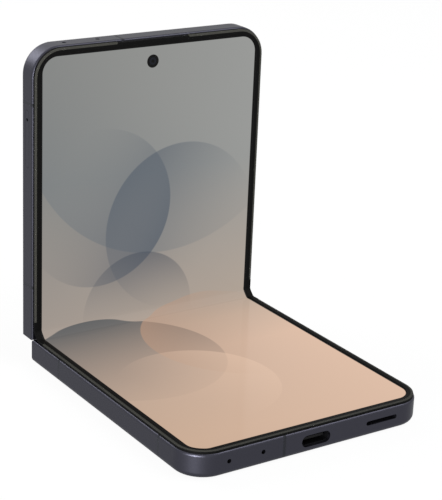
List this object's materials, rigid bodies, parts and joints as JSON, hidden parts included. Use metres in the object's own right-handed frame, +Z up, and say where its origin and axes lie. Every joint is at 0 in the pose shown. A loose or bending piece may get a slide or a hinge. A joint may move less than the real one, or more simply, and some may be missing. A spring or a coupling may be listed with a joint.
{
  "type": "foldable smartphone",
  "caption": "Clamshell folding phone standing half open on its lower half, with a bending inner display, a geared spine hinge, side keys and a SIM tray.",
  "frame": {"origin": "on the outer face of the lower back cover, under the middle of the open phone's outline, where it rests on a table", "axes": "+X along the fold to the side with the power and volume keys, +Y from the charging port's end towards the upper half, +Z up from the table, along the standing upper half"},
  "size_m": [0.0742, 0.091, 0.0899],
  "materials": {
    "frame_metal": "satin anodised, dark blue-grey",
    "antenna_plastic": "matte, tinted to match the frame",
    "back_glass": "etched matte glass",
    "cover_glass": "polished glass over a dark panel",
    "tape": "black adhesive foam tape",
    "battery_foil": "dark laminate foil pouch",
    "circuit_board": "solder-masked glass-fibre board",
    "steel": "rolled sheet",
    "hinge_steel": "machined and sintered steel",
    "black_plastic": "moulded, matte",
    "mesh": "fine woven mesh",
    "copper": "wound copper wire, varnished",
    "contact_gold": "gold-plated",
    "bezel_plastic": "fine matte, near black",
    "display_sheet": "polymer-coated thin glass, lit",
    "fold_rubber": "black elastomer",
    "flex_film": "amber polyimide",
    "lens_glass": "coated dark lens",
    "flash_glass": "frosted",
    "card_plastic": "plain card plastic"
  },
  "bodies": {
    "lower_half": {"lower_frame": "frame_metal", "lower_antenna_breaks": "antenna_plastic", "lower_back_cover": "back_glass", "lower_cover_tape": "tape", "lower_battery": "battery_foil", "charging_board": "circuit_board", "usb_c_shell": "steel", "usb_c_tongue": "black_plastic", "loudspeaker": "black_plastic", "loudspeaker_mesh": "mesh", "vibration_motor": "steel", "charging_coil": "copper", "bottom_microphones": "contact_gold", "lower_bezel": "bezel_plastic", "lower_display_plate": "steel", "lower_display_panel": "display_sheet", "lower_hinge_arms": "hinge_steel", "lower_gear_shafts": "hinge_steel", "lower_screws": "hinge_steel"},
    "spine": {"spine_cover": "frame_metal", "hinge_bases": "hinge_steel", "idler_pins": "hinge_steel", "disc_springs": "hinge_steel", "spine_screws": "hinge_steel", "fold_display": "display_sheet", "fold_steel_sheet": "steel", "fold_edge_strips": "fold_rubber", "interconnect_flex": "flex_film"},
    "lower_idlers": {"lower_idler_gears": "hinge_steel"},
    "upper_idlers": {"upper_idler_gears": "hinge_steel"},
    "upper_half": {"upper_frame": "frame_metal", "upper_antenna_breaks": "antenna_plastic", "upper_back_cover": "cover_glass", "upper_cover_tape": "tape", "cover_display": "display_sheet", "main_board": "circuit_board", "shield_cans": "steel", "upper_battery": "battery_foil", "wide_camera": "black_plastic", "ultra_wide_camera": "black_plastic", "camera_rings": "frame_metal", "camera_windows": "lens_glass", "flash_lens": "flash_glass", "front_camera": "black_plastic", "earpiece_speaker": "black_plastic", "earpiece_mesh": "mesh", "upper_bezel": "bezel_plastic", "upper_display_plate": "steel", "upper_display_panel": "display_sheet", "upper_hinge_arms": "hinge_steel", "upper_gear_shafts": "hinge_steel", "top_microphones": "contact_gold", "side_key_switches": "contact_gold", "upper_screws": "hinge_steel", "sim_socket": "steel"},
    "sim_tray": {"sim_tray": "frame_metal", "sim_card": "card_plastic", "sim_tray_seal": "fold_rubber"},
    "power_key": {"power_key": "frame_metal"},
    "volume_key": {"volume_key": "frame_metal"}
  },
  "joints": [
    {"name": "lower_hinge", "type": "hinge", "parent": "lower_half", "child": "spine", "pos_m": [0, 0.03601, 0.00555], "axis": [1, 0, 0], "range_deg": [-45, 45], "deforming": ["fold_display", "fold_steel_sheet", "fold_edge_strips", "interconnect_flex"]},
    {"name": "upper_hinge", "type": "hinge", "parent": "spine", "child": "upper_half", "pos_m": [0, 0.03884, 0.00838], "axis": [1, 0, 0], "range_deg": [-45, 45]},
    {"name": "lower_idler_turn", "type": "hinge", "parent": "spine", "child": "lower_idlers", "pos_m": [0, 0.0378, 0.00532], "axis": [1, 0, 0], "range_deg": [-45, 45]},
    {"name": "upper_idler_turn", "type": "hinge", "parent": "spine", "child": "upper_idlers", "pos_m": [0, 0.03907, 0.00659], "axis": [1, 0, 0], "range_deg": [-45, 45]},
    {"name": "power_press", "type": "slide", "parent": "upper_half", "child": "power_key", "axis": [-1, 0, 0], "range_m": [0, 0.0002], "stiffness_N_per_m": 800, "springref_m": -0.0004},
    {"name": "volume_rock", "type": "hinge", "parent": "upper_half", "child": "volume_key", "pos_m": [0.0357, 0.04064, 0.06238], "axis": [0, 1, 0], "range_deg": [-1, 1], "stiffness_Nm_per_rad": 0.5},
    {"name": "tray_slide", "type": "slide", "parent": "upper_half", "child": "sim_tray", "axis": [-1, 0, 0], "range_m": [0, 0.022]}
  ],
  "couplings": [
    {"joint": "upper_hinge", "follows": "lower_hinge", "ratio": 1},
    {"joint": "lower_idler_turn", "follows": "lower_hinge", "ratio": 1},
    {"joint": "upper_idler_turn", "follows": "lower_hinge", "ratio": -1}
  ]
}
